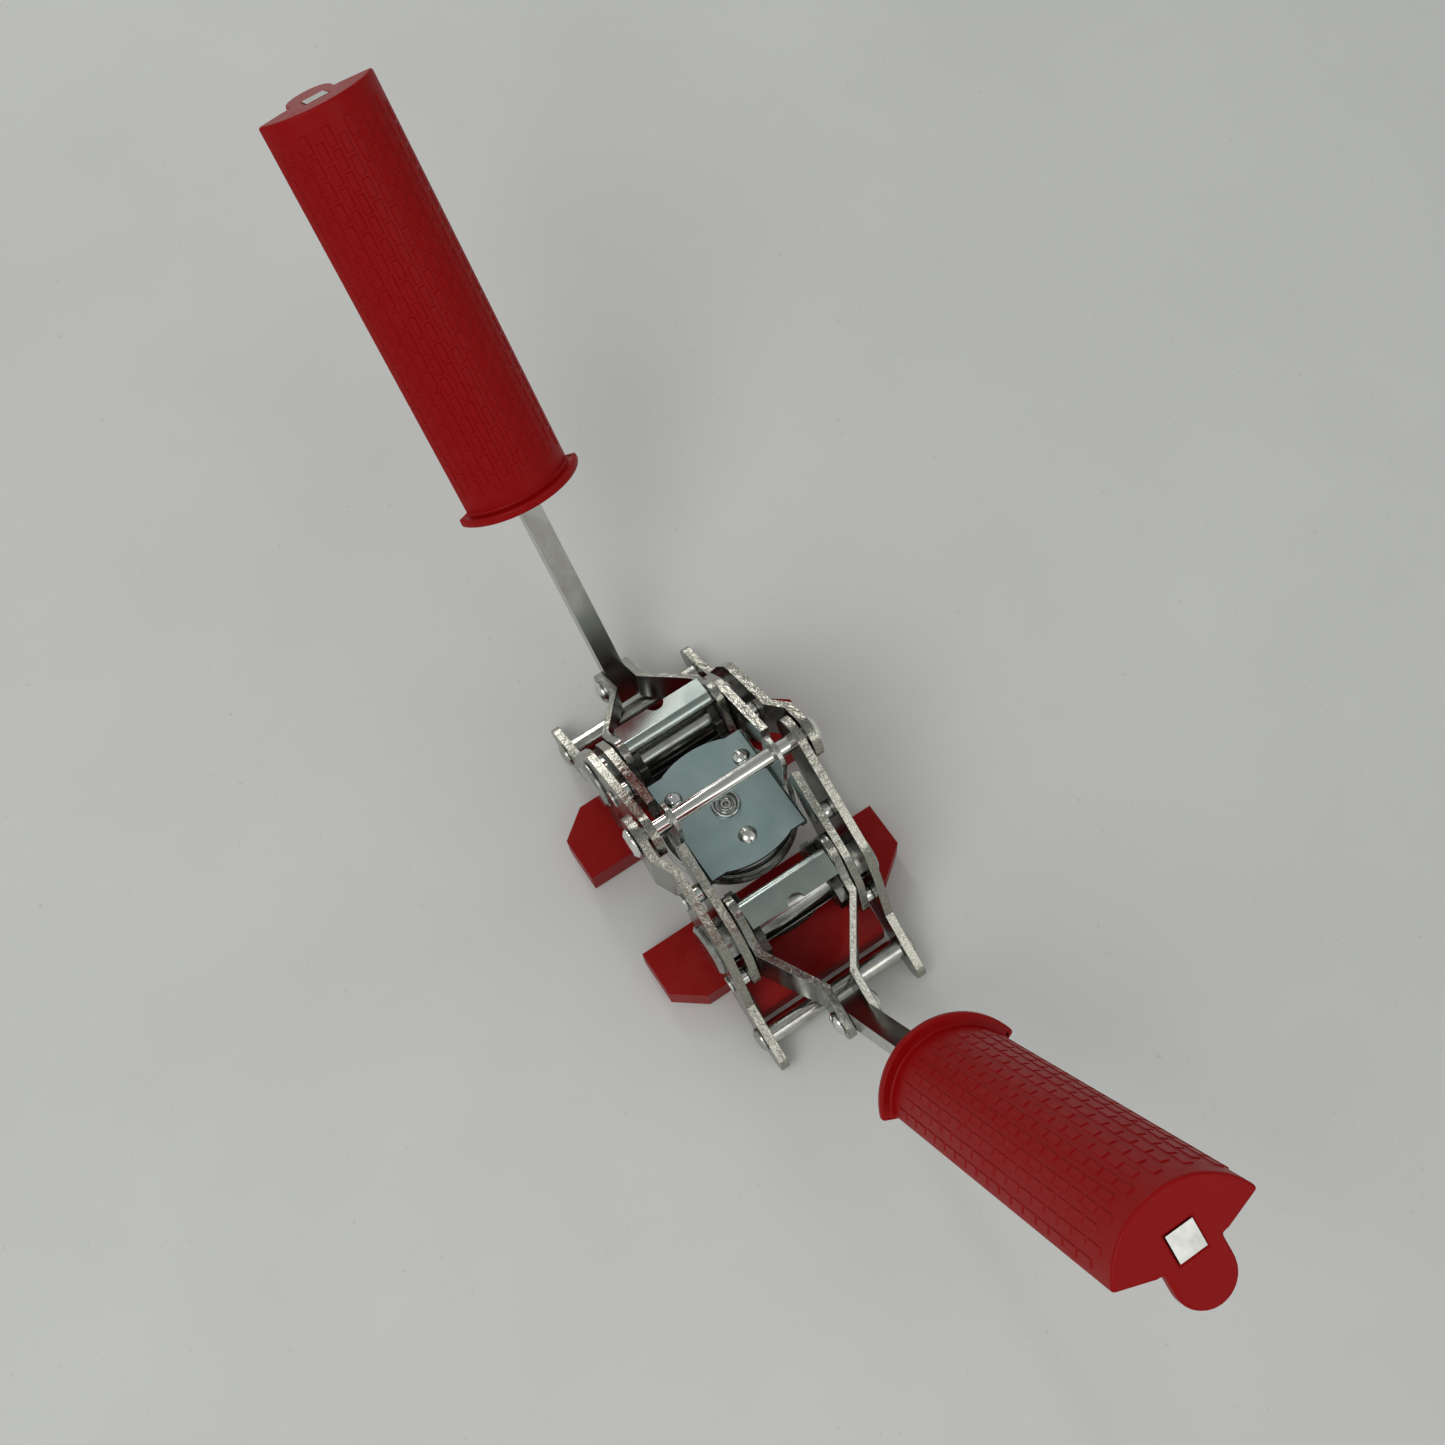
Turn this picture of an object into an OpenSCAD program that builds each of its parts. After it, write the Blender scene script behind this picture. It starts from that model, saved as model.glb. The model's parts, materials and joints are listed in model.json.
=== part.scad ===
// Twin-lever ratchet tensioner: two ratchet units share one hinge rod above a swivel.
// Origin: on the ground at the middle of the tool's length. X runs along the tool, Z is up.
// The rear unit is the front unit turned half a turn about the swivel's axis.

/* [Hinge rod and swivel] */
// Diameter of the hinge rod
rod_d = 4.6; // [4:0.1:5.2]
// Height of the hinge rod above the ground
rod_z = 54.5; // [53.5:0.5:57]
// Height of the swivel plate's top face
swivel_z = 41; // [40.5:0.1:41.5]
// Length of the swivel plate along the tool
swivel_l = 32; // [30:0.5:33]
// Width of the swivel plate over its turned-down sides
swivel_w = 31; // [30:0.1:31]
// Thickness of the swivel plate
swivel_t = 1.6; // [1.4:0.1:1.8]
// Thickness of the hangers
hanger_t = 1.5; // [1.2:0.1:1.8]
// Diameter of the two swivel races
race_d = 39.2; // [37:0.1:39.6]
// Diameter of the swivel stud
stud_d = 8; // [7:0.1:8.4]
// Distance of the front swivel rivet from the swivel axis
rivet_front_x = 10.6; // [10:0.1:12]
// Distance of the two rear swivel rivets from the swivel axis, along the tool
rivet_back_x = 8.7; // [8:0.1:9.2]
// Half distance between the two rear swivel rivets
rivet_y = 11; // [10.4:0.1:11.4]
// Diameter of a swivel rivet's head
rivet_d = 5.2; // [4.6:0.1:5.6]

/* [Frame plates] */
// Thickness of the side plates
plate_t = 2.5; // [2.2:0.1:2.7]
// Gap between the swivel plate's sides and the liner plates
liner_gap = 1.1; // [1:0.1:1.3]
// Gap between the liner plates and the side plates
shoulder_l = 2.5; // [2.3:0.1:2.9]
// Offset of the outermost hinge ear from its plate
joggle = 3.3; // [2.9:0.1:3.6]
// Radius of the hinge ears
ear_r = 7; // [6.4:0.1:7.4]
// Distance of the spindle from the swivel axis
spindle_x = 28.5; // [28.3:0.1:29]
// Height of the spindle above the ground
spindle_z = 30.5; // [30:0.1:31]
// Distance of the anchor bolt from the swivel axis
anchor_x = 51; // [50.5:0.1:52]
// Height of the anchor bolt above the ground
anchor_z = 6.6; // [6.2:0.1:7]
// Diameter of the anchor bolt
anchor_d = 5; // [4.4:0.1:5.4]
// Radius of the tail tip that stands on the ground
tip_r = 4.3; // [4:0.1:4.6]

/* [Spindle and ratchet] */
// Diameter of the split spindle
spindle_d = 13; // [12.4:0.1:13.2]
// Height of the webbing slot in the spindle
slot_h = 4.4; // [4.2:0.1:4.8]
// Radius over the ratchet teeth
wheel_r = 10.2; // [10:0.1:10.3]
// Depth of the ratchet teeth
tooth_h = 2; // [1.8:0.1:2.2]
// Thickness of the ratchet wheels
wheel_t = 2.4; // [2.2:0.1:2.5]
// Diameter of the spindle caps
cap_d = 14.8; // [14.4:0.1:15.4]
// Thickness of the spindle caps
cap_t = 1.6; // [1.4:0.1:2]

/* [Lever] */
// Gap between the lever arms and the liner plates
arm_gap = 0.4; // [0.3:0.05:0.5]
// Distance of the neck rivet from the spindle along the tool
neck_reach = 30.9; // [30.4:0.1:32]
// Drop of the neck rivet below the spindle
neck_drop = 18; // [17:0.1:18]
// Slope of the lever bar when the lever is at its lowest
bar_angle = 53.5; // [52:0.5:58]
// Angle that the front lever stands raised above its lowest place
front_raise = 5; // [0:0.5:8]
// Side of the square lever bar
bar_s = 6; // [5.6:0.1:6.2]
// Distance from the neck rivet to the grip
bar_free = 67; // [60:1:75]
// Length of the grip
grip_l = 115; // [100:1:125]
// Width of the grip
grip_w = 32; // [30:0.5:34]
// Height of the domed side of the grip
dome_h = 11; // [10:0.5:12]
// Depth of the shallow vee on the back of the grip
vee_h = 4; // [3.6:0.1:5]
// Travel of the drive pawl
drive_travel = 2.3; // [2.2:0.1:2.5]

/* [Release slide] */
// Thickness of the pawl blade
blade_t = 2.2; // [2:0.1:2.3]
// Height of the slide's wings
wing_h = 9; // [8:0.1:9.2]
// Half width over the wings
wing_y = 38.6; // [36:0.1:40]
// Travel of the release slide
slide_travel = 2.4; // [2.3:0.1:2.6]
// Reach of the lock blade from the spindle axis into the slide
blade_reach = 28; // [26:0.5:29]

/* [Fits] */
// Running clearance on a radius
run_fit = 0.05; // [0.03:0.01:0.08]
// Gap between flat faces that slide past each other
face_gap = 0.2; // [0.15:0.01:0.25]

/* [Hidden] */
$fn = 48;

steel = [0.72, 0.75, 0.75];
zinc = [0.62, 0.69, 0.70];
dark_steel = [0.5, 0.52, 0.53];
red = [0.82, 0.07, 0.05];

liner_y = swivel_w/2 + liner_gap;
liner_out = liner_y + plate_t;
outer_y = liner_out + shoulder_l;
outer_out = outer_y + plate_t;
ear_out = outer_out + joggle;
arm_y = liner_y - arm_gap - plate_t;
hanger_out = swivel_w/2 + hanger_t;
// Cutters reach this far past the faces that they open.
past = 1;
root_r = wheel_r - tooth_h;
hub_r = wheel_r - 0.6;
spindle_end = outer_out + face_gap/2;
wheel_y = arm_y - face_gap - wheel_t;
teeth = 12;
arc_step = 7.5;
tooth_land = 3;
pitch = 360/teeth;
// Steep tooth faces stand at drive_dir and every pitch from it.
drive_dir = 99;
lock_dir = drive_dir - 7*pitch;
neck_x = spindle_x + neck_reach;
neck_z = spindle_z - neck_drop;
neck_r = 5.4;
neck_in = bar_s/2 + 0.1;
rivet_shank = 4;
liner_shank = 3;
tail_x = anchor_x + 5.6;
race_top = swivel_z - swivel_t - 2.1;
race_h = 3.6;
race_gap = 0.3;
stud_end_d = 6;
nut_h = 3;
nut_z = race_top - 2*race_h - race_gap - face_gap - nut_h;
stud_foot = nut_z - 0.8;
swivel_shank = 3;
ear_u = 13.4;
ear_h = 2.4;
wing_x0 = spindle_x - 15.2;
wing_x1 = spindle_x + 5.1;
wing_floor = 1;
bump_y = 8.2;
tab_r = 6.4;
tab_mid = vee_h + 3.6;
// Pawl tips stand this far off the steep face, and this far off the root.
tip_gap = 0.12;
root_gap = 0.25;
// The lock blade rides up by this much while a tooth passes.
ride_up = tooth_h + 0.2;
drive_ear_u = 9.8;
drive_ear_h = 2;

// Reach of a grip's far corner from the swivel axis, with the lever raised by an angle.
function far_x(a) = spindle_x + neck_reach*cos(a) + neck_drop*sin(a)
    + (bar_free + grip_l)*cos(bar_angle + a) + (tab_mid + tab_r)*sin(bar_angle + a);
// The swivel stands off the middle, because the levers stand at two angles.
swivel_x = (far_x(0) - far_x(front_raise))/2;

// Extrudes an outline drawn in X and Z between two Y values.
module along_y(y0, y1) translate([0, y1, 0]) rotate([90, 0, 0]) linear_extrude(y1 - y0) children();

// A cylinder along Y.
module y_cylinder(x, z, d, y0, y1) translate([x, y1, z]) rotate([90, 0, 0]) cylinder(d = d, h = y1 - y0);

// Points of a circle between two steps of the outline's angle.
function arc(c, r, k0, k1) = [for (k = [k0:k1]) c + r*[cos(k*arc_step), sin(k*arc_step)]];

// The band round two circles.
module link2d(p, rp, q, rq) {
    v = q - p;
    base = atan2(v[1], v[0]);
    lean = acos((rp - rq)/norm(v));
    low = round((base - lean)/arc_step);
    high = round((base + lean)/arc_step);
    polygon(concat(arc(q, rq, low, high), arc(p, rp, high, low + 360/arc_step)));
}

// Turns a lever's pieces about the spindle, up from the lowest place.
module raised(a) translate([spindle_x, 0, spindle_z]) rotate([0, -a, 0])
    translate([-spindle_x, 0, -spindle_z]) children();
// Moves the lock blade and its slide out by what the wheel's turn lifts them.
module lifted(a) translate(a/pitch*ride_up*[cos(lock_dir), 0, sin(lock_dir)]) children();
module middle() translate([swivel_x, 0, 0]) children();
module front() middle() children();
module rear() middle() rotate([0, 0, 180]) children();
module mirror_y() mirror([0, 1, 0]) children();

// ---- swivel ----

module swivel_outline() {
    bulge_r = 26;
    intersection() {
        square([swivel_l + 6, swivel_w], center = true);
        union() {
            square([swivel_l, swivel_w], center = true);
            for (s = [-1, 1])
                intersection() {
                    translate([s*(swivel_l/2 + 2.2 - bulge_r), 0]) circle(bulge_r, $fn = 96);
                    translate([s*swivel_l/2, 0]) square([12, 20], center = true);
                }
        }
    }
}

module swivel_top_plate() color(zinc) difference() {
    union() {
        translate([0, 0, swivel_z - swivel_t]) linear_extrude(swivel_t) swivel_outline();
        for (s = [-1, 1])
            translate([-swivel_l/2, s*(swivel_w/2 - swivel_t/2) - swivel_t/2, swivel_z - swivel_t - 1.6])
                cube([swivel_l, swivel_t, 1.8]);
    }
    translate([0, 0, swivel_z - 3]) cylinder(d = stud_d + 2*run_fit, h = 4);
    at_swivel_rivets() translate([0, 0, swivel_z - 3]) cylinder(d = swivel_shank + 2*run_fit, h = 4);
    // rounded bend along each side
    for (s = [-1, 1]) translate([0, s*(swivel_w/2), swivel_z]) rotate([s*45, 0, 0])
        cube([swivel_l + 8, 4, 0.9], center = true);
}

module at_swivel_rivets() for (p = [[rivet_front_x, 0], [-rivet_back_x, rivet_y], [-rivet_back_x, -rivet_y]])
    translate(p) children();

module swivel_rivets() color(steel)
    at_swivel_rivets() {
        translate([0, 0, race_top - 1]) cylinder(d = swivel_shank, h = swivel_z - race_top + 1.2);
        translate([0, 0, swivel_z]) intersection() {
            cylinder(d = rivet_d, h = 2);
            translate([0, 0, 1.5 - rivet_d*0.62]) sphere(d = rivet_d*1.24);
        }
    }

module swivel_stud() color(steel) difference() {
    rotate_extrude() polygon([[0, stud_foot], [stud_end_d/2, stud_foot], [stud_end_d/2, race_top - race_h],
        [stud_d/2, race_top - race_h], [stud_d/2, swivel_z + 0.5], [stud_d/2 - 0.5, swivel_z + 1], [0, swivel_z + 1]]);
    translate([0, 0, swivel_z + 0.2]) rotate_extrude() translate([2.9, 0]) square([0.5, 2]);
    translate([0, 0, swivel_z + 0.5]) cylinder(d = 3, h = 2);
}

// Section of a race: a dished ring with a rolled rim.
module race_section(bore) {
    r = race_d/2;
    polygon([[bore, 0], [r - 4, 0], [r - 1.2, 0.5], [r, 1.5], [r, 2.3], [r - 0.7, 2.9], [r - 2, 2.6],
        [r - 3.4, race_h - 0.3], [r - 4, race_h], [bore, race_h]]);
}

module upper_race() color(zinc) difference() {
    union() {
        translate([0, 0, race_top - race_h]) rotate_extrude($fn = 96) race_section(stud_d/2 + run_fit);
        // pad that fills the plate's underside between its turned-down sides
        translate([0, 0, race_top - 0.5]) linear_extrude(swivel_z - swivel_t - race_top + 0.5) difference() {
            intersection() {
                circle(race_d/2 - 3.6, $fn = 96);
                square([race_d, swivel_w - 2*swivel_t - 2*run_fit], center = true);
            }
            circle(stud_d/2 + run_fit);
        }
    }
    at_swivel_rivets() translate([0, 0, race_top - 1 - run_fit]) cylinder(d = swivel_shank + 2*run_fit, h = 6);
}

module lower_race() color(zinc)
    translate([0, 0, race_top - race_h - race_gap]) mirror([0, 0, 1])
        rotate_extrude($fn = 96) race_section(stud_end_d/2 + 2*run_fit);

module stud_nut() color(steel) translate([0, 0, nut_z]) difference() {
    cylinder(d = 11.5, h = nut_h, $fn = 6);
    translate([0, 0, -1]) cylinder(d = stud_end_d, h = nut_h + 2);
}

// A hanger carries the swivel plate from the hinge rod.
module hanger(s) color(dark_steel) difference() {
    mirror([0, s < 0 ? 0 : 1, 0])
        along_y(-hanger_out, -swivel_w/2) link2d([0, rod_z], 5, [0, swivel_z + 1.3], 4.8);
    y_cylinder(0, rod_z, rod_d + 2*run_fit, -hanger_out - past, hanger_out + past);
}

module left_hanger() hanger(-1);
module right_hanger() hanger(1);

module hinge_rod() color(steel) {
    reach = ear_out + face_gap;
    y_cylinder(0, rod_z, rod_d, -reach, reach);
    for (s = [-1, 1]) translate([0, s*reach, rod_z]) rotate([-s*90, 0, 0])
        rotate_extrude() polygon([[0, 0], [4.2, 0], [4.2, 0.7], [3, 1.7], [0, 1.9]]);
}

// ---- frame of one unit ----

module frame_outline() {
    spindle = [spindle_x, spindle_z];
    knee = [spindle_x + 11.5, 14.2];
    link2d([0, rod_z], ear_r, [spindle_x - 2, spindle_z + 6.5], 8.8);
    link2d([spindle_x - 2, spindle_z + 6.5], 8.8, spindle, hub_r + 0.6);
    link2d(spindle, hub_r + 0.6, knee, 5.2);
    link2d(knee, 5.2, [anchor_x, anchor_z], 5);
    link2d([anchor_x, anchor_z], 5, [tail_x, tip_r], tip_r);
    link2d(spindle, hub_r, spindle + 15.2*[cos(lock_dir), sin(lock_dir)], 4.6);
}

// Plan of the joggled plate: outermost at the rod, one step in before the spindle.
module joggled_plan(y_in, step) {
    path = [[-ear_r - 1, y_in + step], [ear_r + 1, y_in + step], [ear_r + 6, y_in], [tail_x + 10, y_in]];
    back = [for (i = [len(path) - 1:-1:0]) path[i] + [0, plate_t]];
    polygon(concat(path, back));
}

// A window that guides a pawl's ear over its travel.
module ear_window(u, h, travel) translate([u - face_gap, -tip_gap - blade_t - 0.1])
    square([h + travel + 2*face_gap, blade_t + 0.2]);

module blade_window() translate([spindle_x, spindle_z]) rotate(lock_dir)
    ear_window(ear_u, ear_h, slide_travel);

module outer_plate(step) difference() {
    intersection() {
        along_y(outer_y - past, ear_out + past) frame_outline();
        linear_extrude(rod_z + 20) joggled_plan(outer_y, step);
    }
    y_cylinder(0, rod_z, rod_d + 2*run_fit, 0, ear_out + past);
    y_cylinder(spindle_x, spindle_z, spindle_d + 2*run_fit, 0, outer_out + past);
    y_cylinder(anchor_x, anchor_z, anchor_d + 2*run_fit, 0, outer_out + past);
    for (p = liner_rivet_places()) y_cylinder(p[0], p[1], liner_shank + 2*run_fit, 0, outer_out + past);
    along_y(outer_y - past, outer_out + past) blade_window();
}

function liner_rivet_places() = [[spindle_x - 11, spindle_z + 13], [spindle_x + 8.4, spindle_z - 9.5]];

module left_plate() color(steel) mirror_y() outer_plate(joggle);
module right_plate() color(steel) outer_plate(0);

module liner() difference() {
    along_y(liner_y, liner_out) {
        spindle = [spindle_x, spindle_z];
        link2d([spindle_x - 14.5, spindle_z + 15.2], 4.6, spindle + [-2, 6], 7.4);
        link2d(spindle + [-2, 6], 7.4, spindle, hub_r);
        link2d(spindle, hub_r, spindle + [8.4, -9.5], 3.6);
    }
    y_cylinder(spindle_x, spindle_z, spindle_d + 2*run_fit, 0, liner_out + past);
    for (p = liner_rivet_places()) y_cylinder(p[0], p[1], liner_shank + 2*run_fit, 0, liner_out + past);
}

module left_liner() color(dark_steel) mirror_y() liner();
module right_liner() color(dark_steel) liner();

// Shouldered rivets hold each liner to its outer plate.
module liner_rivets() color(steel)
    for (s = [0, 1]) mirror([0, s, 0]) for (p = liner_rivet_places()) {
        y_cylinder(p[0], p[1], liner_shank, liner_y, outer_out);
        y_cylinder(p[0], p[1], liner_shank + 2, liner_out, outer_y);
        y_cylinder(p[0], p[1], liner_shank + 2, outer_out, outer_out + 0.9);
    }

module anchor_bolt() color(steel) {
    y_cylinder(anchor_x, anchor_z, anchor_d, -outer_out, outer_out);
    y_cylinder(anchor_x, anchor_z, anchor_d + 1.4, -outer_y, outer_y);
    for (s = [-1, 1]) translate([anchor_x, s*outer_out, anchor_z]) rotate([-s*90, 0, 0])
        rotate_extrude() polygon([[0, 0], [3.6, 0], [3.4, 0.9], [2.2, 1.5], [0, 1.6]]);
}

// ---- spindle of one unit ----

// Section of one half of the spindle, above the slot.
module half_section(grow) intersection() {
    circle(d = spindle_d + 2*grow);
    translate([-spindle_d, slot_h/2 - grow]) square([2*spindle_d, spindle_d]);
}

module spindle_half(s) color(steel) along_y(-spindle_end, spindle_end)
    translate([spindle_x, spindle_z]) rotate(s > 0 ? 0 : 180) half_section(0);

module upper_spindle_half() spindle_half(1);
module lower_spindle_half() spindle_half(-1);

function polar(r, a) = r*[cos(a), sin(a)];

module ratchet_wheel(raise) along_y(wheel_y, wheel_y + wheel_t) translate([spindle_x, spindle_z]) difference() {
    polygon([for (k = [0:teeth - 1]) let (a = drive_dir + raise + k*pitch)
        each [polar(root_r, a), polar(wheel_r, a), polar(wheel_r, a + tooth_land)]]);
    half_section(run_fit);
    rotate(180) half_section(run_fit);
}

module left_ratchet_wheel(raise) color(dark_steel) mirror_y() ratchet_wheel(raise);
module right_ratchet_wheel(raise) color(dark_steel) ratchet_wheel(raise);

module spindle_caps() color(steel) for (s = [0, 1]) mirror([0, s, 0]) {
    translate([spindle_x, spindle_end, spindle_z]) rotate([-90, 0, 0]) rotate_extrude()
        polygon([[0, 0], [cap_d/2, 0], [cap_d/2, cap_t*0.5], [cap_d/2 - 1, cap_t], [0, cap_t]]);
    translate([spindle_x - spindle_d/2 + 1.2, spindle_end - 3, spindle_z - slot_h/2 + run_fit])
        cube([spindle_d - 2.4, 3, slot_h - 2*run_fit]);
}

// ---- lever of one unit ----

module arm_outline() {
    spindle = [spindle_x, spindle_z];
    waist = spindle + [10.5, -3.4];
    link2d(spindle, hub_r, waist, 6.4);
    link2d(waist, 6.4, [neck_x, neck_z], neck_r);
    link2d(spindle, hub_r, spindle + polar(12, drive_dir - 4), 4.4);
}

module arm_plan() {
    bend_x = spindle_x + 10;
    path = [[spindle_x - hub_r - 1, arm_y], [bend_x, arm_y], [neck_x - 6.5, neck_in], [neck_x + 12, neck_in]];
    back = [for (i = [len(path) - 1:-1:0]) path[i] + [0, plate_t]];
    polygon(concat(path, back));
}

module lever_arm() difference() {
    intersection() {
        along_y(0, arm_y + plate_t + past) arm_outline();
        linear_extrude(spindle_z + 30) arm_plan();
    }
    y_cylinder(spindle_x, spindle_z, spindle_d + 2*run_fit, 0, arm_y + plate_t + past);
    y_cylinder(neck_x, neck_z, rivet_shank + 2*run_fit, 0, arm_y + plate_t + past);
    along_y(arm_y - past, arm_y + plate_t + past) at_spindle(drive_dir)
        ear_window(drive_ear_u, drive_ear_h, drive_travel);
}

module left_lever_arm() color(steel) mirror_y() lever_arm();
module right_lever_arm() color(steel) lever_arm();

module neck_rivet() color(steel) {
    reach = neck_in + plate_t;
    y_cylinder(neck_x, neck_z, rivet_shank, -reach, reach);
    for (s = [-1, 1]) translate([neck_x, s*reach, neck_z]) rotate([-s*90, 0, 0])
        rotate_extrude() polygon([[0, 0], [3.6, 0], [3.4, 0.8], [2.2, 1.6], [0, 1.8]]);
}

// Frame of the lever: X along the bar from the neck, Y across, Z towards the domed side.
module lever_frame() translate([neck_x, 0, neck_z]) rotate([0, -bar_angle, 0]) children();

module lever_bar() color(steel) difference() {
    lever_frame() translate([0.4 - neck_r, -bar_s/2, -bar_s/2]) cube([bar_free + grip_l + neck_r - 0.4, bar_s, bar_s]);
    y_cylinder(neck_x, neck_z, rivet_shank + 2*run_fit, -bar_s, bar_s);
}

// Section of the grip: a shallow dome over a shallow vee.
module grip_section(w, dome, vee) {
    r = (w*w/4 + dome*dome)/(2*dome);
    intersection() {
        translate([0, dome - r]) circle(r, $fn = 96);
        translate([-w/2, 0]) square([w, dome + 1]);
    }
    polygon([[-w/2, 0], [w/2, 0], [w/4, -vee*0.72], [0, -vee], [-w/4, -vee*0.72]]);
}

module along_bar(u0, u1) translate([u0, 0, 0]) rotate([90, 0, 90]) linear_extrude(u1 - u0) children();

module grip() color(red) lever_frame() difference() {
    union() {
        along_bar(bar_free, bar_free + grip_l) grip_section(grip_w, dome_h, vee_h);
        along_bar(bar_free, bar_free + 2.6) grip_section(grip_w + 5.6, dome_h + 3, vee_h + 2);
        along_bar(bar_free + grip_l - 3.2, bar_free + grip_l) {
            translate([0, -tab_mid]) circle(tab_r);
            translate([-tab_r, -tab_mid]) square([2*tab_r, tab_mid]);
        }
    }
    translate([bar_free - 1, -bar_s/2 - run_fit, -bar_s/2 - run_fit])
        cube([grip_l + 2, bar_s + 2*run_fit, bar_s + 2*run_fit]);
}

// Profile of a pawl blade in its own frame: X outwards from the spindle, -Y away from the steep face.
module blade_profile(u_end) {
    back = -tip_gap - blade_t;
    rise = ride_up*asin(-back/root_r)/pitch;
    polygon([[root_r + root_gap, -tip_gap], [u_end, -tip_gap], [u_end, back],
        [root_r + root_gap + rise, back]]);
}

module at_spindle(dir) translate([spindle_x, spindle_z]) rotate(dir) children();

// The drive pawl is a bent sheet between the arms: toothed flange, round bend and sloping top.
module drive_pawl() color(zinc) {
    half = arm_y - face_gap;
    sheet = 1.5;
    bend = [spindle_x + 0.9, spindle_z] + polar(wheel_r + face_gap + 2, drive_dir);
    front_edge = bend + [6.9, -2];
    difference() {
        union() {
            for (s = [0, 1]) mirror([0, s, 0]) {
                along_y(wheel_y - 0.3, half) at_spindle(drive_dir) blade_profile(12);
                // ear through the arm's window
                along_y(half - 0.5, arm_y + plate_t) at_spindle(drive_dir)
                    translate([drive_ear_u, -tip_gap - blade_t]) square([drive_ear_h, blade_t]);
            }
            along_y(-half, half) {
                at_spindle(drive_dir) translate([wheel_r + face_gap, -tip_gap - blade_t]) square([2, blade_t]);
                link2d(bend, sheet/2 + 0.2, front_edge, sheet/2);
            }
        }
        // half-round notch in the free edge
        translate([front_edge[0] + 0.6, 0, front_edge[1] - 5]) cylinder(r = 2.6, h = 12);
    }
}

// ---- release slide of one unit ----

module lock_blade_profile() at_spindle(lock_dir) blade_profile(blade_reach);

module lock_blade() color(steel) {
    half = wheel_y + wheel_t;
    along_y(-half, half) lock_blade_profile();
    along_y(-outer_out, outer_out) at_spindle(lock_dir) translate([ear_u, -tip_gap - blade_t]) square([ear_h, blade_t]);
}

module wing_plan() {
    tip = wing_x1 - 5.6;
    polygon([[wing_x0, -wing_y], [tip - 1, -wing_y], [wing_x1, -wing_y + 8.6], [wing_x1, wing_y - 8.6],
        [tip - 1, wing_y], [wing_x0, wing_y]]);
}

module release_slide() color(red) difference() {
    union() {
        translate([0, 0, wing_floor]) linear_extrude(wing_h) wing_plan();
        along_y(-bump_y, bump_y) polygon([[spindle_x - 2, wing_floor], [spindle_x + 13.6, wing_floor],
            [spindle_x + 16.4, 12], [spindle_x + 14.8, spindle_z - 7], [spindle_x + 6, spindle_z - 5],
            [spindle_x - 2, 14]]);
    }
    // clearance round the spindle
    y_cylinder(spindle_x, spindle_z, spindle_d + 6, -bump_y - past, bump_y + past);
    along_y(-wheel_y - wheel_t - run_fit, wheel_y + wheel_t + run_fit) at_spindle(lock_dir)
        translate([blade_reach/2, -tip_gap - blade_t - run_fit]) square([blade_reach/2 + run_fit, blade_t + 2*run_fit]);
}

middle() swivel_top_plate();
middle() swivel_rivets();
middle() swivel_stud();
middle() upper_race();
middle() lower_race();
middle() stud_nut();
middle() left_hanger();
middle() right_hanger();
middle() hinge_rod();
front() left_plate();  // front_left_plate
front() right_plate();  // front_right_plate
front() left_liner();  // front_left_liner
front() right_liner();  // front_right_liner
front() liner_rivets();  // front_liner_rivets
front() anchor_bolt();  // front_anchor_bolt
front() upper_spindle_half();  // front_upper_spindle_half
front() lower_spindle_half();  // front_lower_spindle_half
front() left_ratchet_wheel(front_raise);  // front_left_ratchet_wheel
front() right_ratchet_wheel(front_raise);  // front_right_ratchet_wheel
front() spindle_caps();  // front_spindle_caps
front() raised(front_raise) left_lever_arm();  // front_left_lever_arm
front() raised(front_raise) right_lever_arm();  // front_right_lever_arm
front() raised(front_raise) neck_rivet();  // front_neck_rivet
front() raised(front_raise) lever_bar();  // front_lever_bar
front() raised(front_raise) grip();  // front_grip
front() raised(front_raise) drive_pawl();  // front_drive_pawl
front() lifted(front_raise) release_slide();  // front_release_slide
front() lifted(front_raise) lock_blade();  // front_lock_blade
rear() left_plate();  // rear_left_plate
rear() right_plate();  // rear_right_plate
rear() left_liner();  // rear_left_liner
rear() right_liner();  // rear_right_liner
rear() liner_rivets();  // rear_liner_rivets
rear() anchor_bolt();  // rear_anchor_bolt
rear() upper_spindle_half();  // rear_upper_spindle_half
rear() lower_spindle_half();  // rear_lower_spindle_half
rear() left_ratchet_wheel(0);  // rear_left_ratchet_wheel
rear() right_ratchet_wheel(0);  // rear_right_ratchet_wheel
rear() spindle_caps();  // rear_spindle_caps
rear() left_lever_arm();  // rear_left_lever_arm
rear() right_lever_arm();  // rear_right_lever_arm
rear() neck_rivet();  // rear_neck_rivet
rear() lever_bar();  // rear_lever_bar
rear() grip();  // rear_grip
rear() drive_pawl();  // rear_drive_pawl
rear() release_slide();  // rear_release_slide
rear() lock_blade();  // rear_lock_blade
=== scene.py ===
import json
import logging
import math
from dataclasses import dataclass
from enum import Enum

import bmesh
import bpy
from mathutils import Matrix, Vector


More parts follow.
